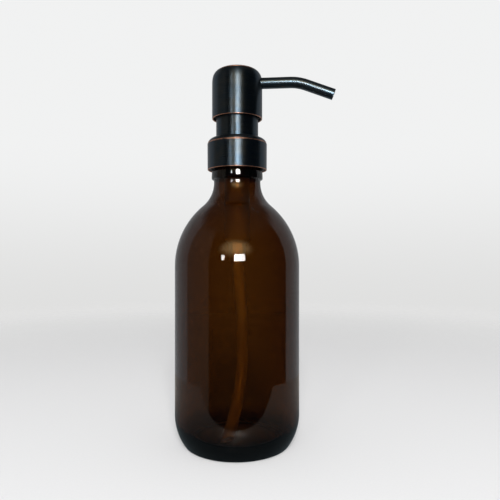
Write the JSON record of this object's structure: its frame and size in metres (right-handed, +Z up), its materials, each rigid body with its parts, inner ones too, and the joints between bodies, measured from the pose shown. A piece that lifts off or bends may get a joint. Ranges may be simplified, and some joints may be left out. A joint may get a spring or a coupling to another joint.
{
  "type": "soap pump dispenser",
  "caption": "Round amber glass bottle with a screw-on dark bronze lotion pump: press-down head, bent spout, telescoping sleeve, spring, check balls and dip tube.",
  "frame": {"origin": "on the bottle's axis, at the level of the ring that the bottle stands on", "axes": "+Z up along the bottle's axis, +X along the spout at rest"},
  "size_m": [0.0862, 0.0668, 0.2017],
  "materials": {
    "glass": "dark amber bottle glass, polished",
    "bronze": "oil-rubbed bronze, brushed round the axis, copper showing at worn edges",
    "black_plastic": "moulded black polypropylene",
    "white_plastic": "moulded white polypropylene",
    "natural_plastic": "natural polypropylene and polyethylene, milky and translucent",
    "gasket": "soft flat washer",
    "spring_steel": "drawn stainless spring wire",
    "ball_steel": "polished stainless balls"
  },
  "bodies": {
    "bottle": {"bottle": "glass"},
    "pump": {"pump_housing": "natural_plastic", "neck_gasket": "gasket", "ball_cage": "white_plastic", "stem_guide": "white_plastic", "sleeve": "bronze", "return_spring": "spring_steel", "dip_tube": "natural_plastic"},
    "collar": {"collar_shell": "bronze", "collar_insert": "black_plastic"},
    "plunger": {"piston": "white_plastic"},
    "head": {"stem": "white_plastic", "piston_rod": "white_plastic", "actuator_core": "black_plastic", "actuator_shell": "bronze", "spout_tube": "bronze", "spout_liner": "white_plastic"},
    "inlet_ball": {"inlet_ball": "ball_steel"},
    "outlet_ball": {"outlet_ball": "ball_steel"}
  },
  "joints": [
    {"name": "pump_lift", "type": "slide", "parent": "bottle", "child": "pump", "axis": [0, 0, 1], "range_m": [0, 0.00529]},
    {"name": "collar_turn", "type": "hinge", "parent": "pump", "child": "collar", "pos_m": [0, 0, 0.154], "axis": [0, 0, 1], "range_deg": [0, 450]},
    {"name": "head_press", "type": "slide", "parent": "pump", "child": "plunger", "axis": [0, 0, 1], "range_m": [-0.0095, 0], "stiffness_N_per_m": 900, "springref_m": 0.008, "deforming": ["return_spring"]},
    {"name": "head_turn", "type": "hinge", "parent": "plunger", "child": "head", "pos_m": [0, 0, 0.18], "axis": [0, 0, 1], "continuous": true},
    {"name": "inlet_ball_lift", "type": "slide", "parent": "pump", "child": "inlet_ball", "axis": [0, 0, 1], "range_m": [0, 0.0018]},
    {"name": "outlet_ball_lift", "type": "slide", "parent": "head", "child": "outlet_ball", "axis": [0, 0, 1], "range_m": [0, 0.0015]}
  ],
  "couplings": [
    {"joint": "collar_turn", "follows": "pump_lift", "rad_per_m": 1485.4}
  ]
}
